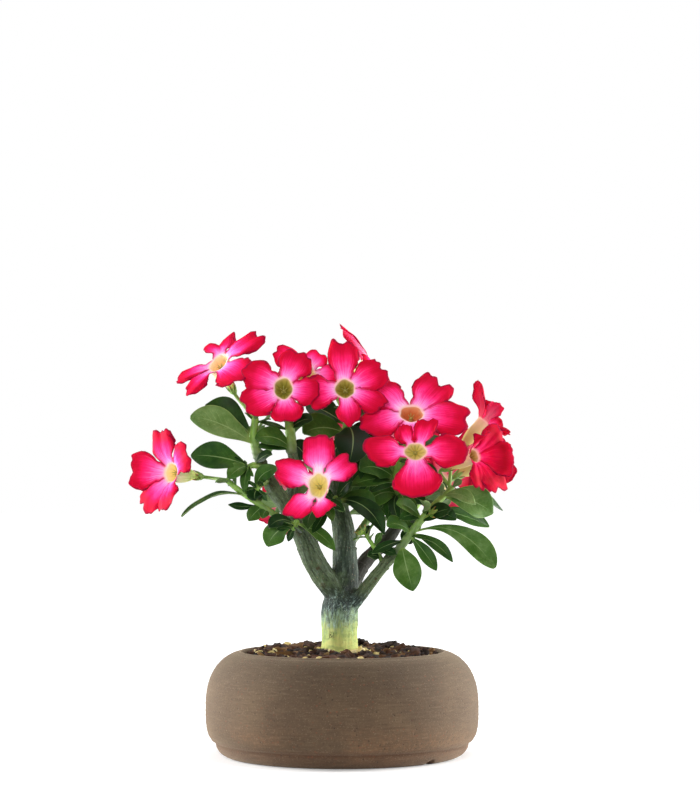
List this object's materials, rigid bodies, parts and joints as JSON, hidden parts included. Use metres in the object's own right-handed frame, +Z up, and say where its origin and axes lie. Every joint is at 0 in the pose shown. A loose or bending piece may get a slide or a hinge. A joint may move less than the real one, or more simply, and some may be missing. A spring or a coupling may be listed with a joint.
{
  "type": "potted desert rose adenium",
  "caption": "Flowering desert rose: a stout trunk forks into limbs with spoon-shaped leaves and ruffled trumpet blooms, in a low round clay bowl topped with bark mulch.",
  "frame": {"origin": "middle of the pot's flat underside, on the surface that it stands on", "axes": "+Z up from the pot's underside to the topmost bloom, -Y towards the front, +X to the right as seen from the front"},
  "size_m": [0.2943, 0.2135, 0.325],
  "materials": {
    "clay": "matte",
    "soil": "matte",
    "bark_mulch": "matte",
    "bark": "satin",
    "leaf": "satin",
    "petal": "matte"
  },
  "bodies": {
    "root": {"pot": "clay", "soil": "soil", "bark_mulch": "bark_mulch", "trunk_and_limbs": "bark", "shoot_upper_left": "leaf", "shoot_centre_left": "leaf", "shoot_centre_top": "leaf", "shoot_upper_right": "leaf", "shoot_right_low": "leaf", "shoot_left_long": "leaf", "shoot_left_spur": "leaf", "shoot_inner_left_spur": "leaf", "shoot_fork_spur": "leaf", "shoot_front": "leaf", "shoot_front_right": "leaf", "shoot_star_twig": "leaf", "shoot_left_back": "leaf", "shoot_middle_back": "leaf", "shoot_rear_top": "leaf", "shoot_rear_right": "leaf", "shoot_right_back": "leaf", "bloom_far_left_top": "petal", "bloom_left_top": "petal", "bloom_left_top_back": "petal", "bloom_centre_top": "petal", "bloom_centre_top_back": "petal", "bloom_right_top": "petal", "bloom_right_front": "petal", "bloom_far_right": "petal", "bloom_far_right_back": "petal", "bloom_far_right_top": "petal", "bloom_far_left": "petal", "bloom_front": "petal", "bloom_left_back": "petal", "bloom_rear_right": "petal", "bloom_rear_left": "petal", "bloom_right_back": "petal"}
  },
  "joints": []
}
